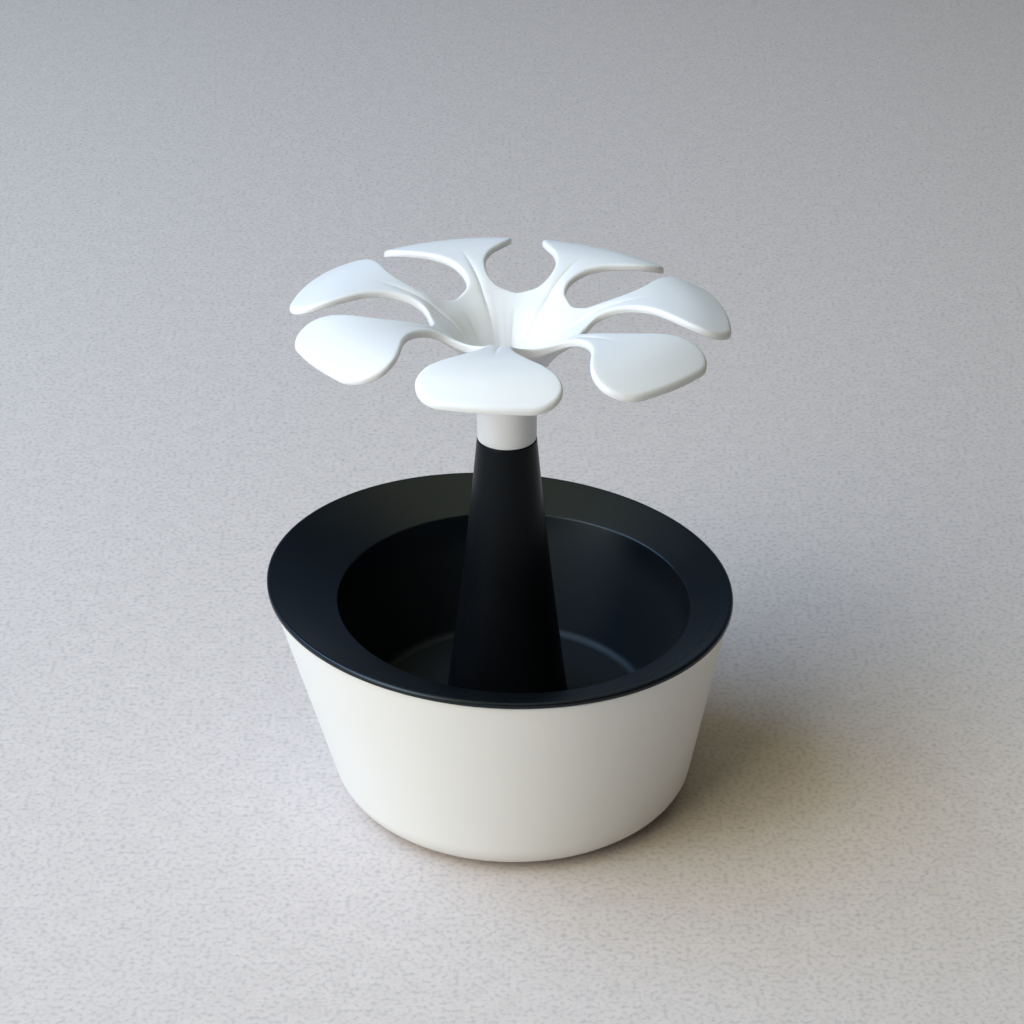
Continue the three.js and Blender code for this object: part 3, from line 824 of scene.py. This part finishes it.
def cast_iron():
    shader = Finish("cast iron, oiled", {"Metallic": 0.75})
    sand = shader.noise(0.8, 5)
    patch = shader.noise(9, 4)
    colour = shader.colours(patch, (0.06, 0.06, 0.065), (0.13, 0.12, 0.115))
    return shader.finish(colour, 0.42 + 0.25 * patch, sand, 0.12)


def soft_rubber():
    shader = Finish("black rubber", {"IOR": 1.45})
    cloud = shader.noise(2.5, 4)
    colour = shader.colours(cloud, (0.022, 0.022, 0.024), (0.04, 0.04, 0.042))
    return shader.finish(colour, 0.75 + 0.15 * cloud, shader.noise(0.4, 3), 0.03)


def tabletop():
    shader = Finish("mottled laminate tabletop", {"IOR": 1.45})
    cloud = shader.noise(5, 5)
    fleck = shader.noise(1.15, 5)
    dark = shader.ramp(fleck, 0.52, 0.3)
    colour = shader.colours(cloud, (0.58, 0.507, 0.468), (0.695, 0.61, 0.565))
    colour = shader.colours(0.58 * dark, colour, (0.36, 0.34, 0.345))
    return shader.finish(colour, 0.7, fleck, 0.06)


# Object

FINISHES = {
    "steel": zinc_steel(),
    "iron": cast_iron(),
    "rubber": soft_rubber(),
    "plug_black": plug_black(),
}
MOULDINGS = [
    (pot_shell(), shell_white()),
    (pot_liner(), liner_black()),
    (stem(), stem_black()),
    (flower(), flower_white()),
]
for moulding, material in MOULDINGS:
    moulding.data.materials.clear()
    moulding.data.materials.append(material)
for part in frame["record"]["subparts"]:
    if part["material_slot"] in FINISHES:
        for place in frame["nodes"][part["node"]].material_slots:
            place.material = FINISHES[part["material_slot"]]


# Table, light and camera

TABLE_HALF = 800.0
TABLE_DROP = 0.05  # keeps the table clear of the feet


def stage_floor():
    edit = bmesh.new()
    bmesh.ops.create_grid(edit, x_segments=2, y_segments=2, size=TABLE_HALF * MM)
    mesh = bpy.data.meshes.new("tabletop")
    edit.to_mesh(mesh)
    edit.free()
    made = bpy.data.objects.new("tabletop", mesh)
    made.location.z = -TABLE_DROP * MM
    mesh.materials.append(tabletop())
    bpy.context.scene.collection.objects.link(made)


def lamp(name, place, aim, size, power, colour):
    """Rectangular soft lamp, in metres and watts, turned to a point that it lights."""
    light = bpy.data.lights.new(name, "AREA")
    light.shape = "RECTANGLE"
    light.size, light.size_y = size
    light.energy = power
    light.color = colour
    made = bpy.data.objects.new(name, light)
    made.location = place
    made.rotation_euler = (Vector(aim) - Vector(place)).to_track_quat("-Z", "Y").to_euler()
    bpy.context.scene.collection.objects.link(made)


def room_light():
    """Dim light from all round, cool at the back and pale along and below the horizon."""
    shader = Shader(bpy.data.worlds.new("room light"), "Background", {"Strength": 1.0})
    way = shader.node("ShaderNodeTexCoord", output="Generated")
    up = shader.along(way, "Z")
    high = shader.ramp(up, 0.45, 0.9)
    back = shader.ramp(shader.along(way, "Y"), 0.3, 0.85)
    low = shader.ramp(up, 0.12, 0.02)
    sky = shader.colours(back, (0.01, 0.01, 0.01), (0.075, 0.11, 0.165))
    sky = shader.colours(high, sky, (0.04, 0.035, 0.02))
    sky = shader.colours(low, sky, (0.27, 0.31, 0.34))
    shader.feed(shader.surface.inputs["Color"], sky)
    bpy.context.scene.world = shader.owner


stage_floor()
room_light()
lamp("window", (-0.64, -0.02, 0.8), (0, 0, 0.04), (1.1, 0.7), 12.5, (0.42, 0.63, 1.0))
lamp("window reflector", (-0.86, -0.76, 0.46), (0, 0, 0.05), (0.8, 0.6), 6.6, (0.98, 1.0, 0.95))
lamp("room lamp", (-0.55, -0.5, 0.85), (0, 0, 0.05), (0.8, 0.6), 4.7, (1.0, 0.92, 0.57))
lamp("ceiling", (0, 0.1, 1.2), (0, 0, 0.05), (1.2, 1.2), 3.3, (1.0, 0.94, 0.56))

CAMERA_PLACE = Vector((2.52, -520.1, 352.7)) * MM
CAMERA_PITCH = 28.83  # degrees below level
FOCAL_LENGTH = 2800 / 1024  # in widths of the photograph
camera = bpy.data.objects.new("camera", bpy.data.cameras.new("camera"))
camera.data.lens = FOCAL_LENGTH * camera.data.sensor_width
camera.location = CAMERA_PLACE
camera.rotation_euler = (math.radians(90 - CAMERA_PITCH), 0, 0)
bpy.context.scene.collection.objects.link(camera)
bpy.context.scene.camera = camera
bpy.context.scene.view_settings.view_transform = "Standard"
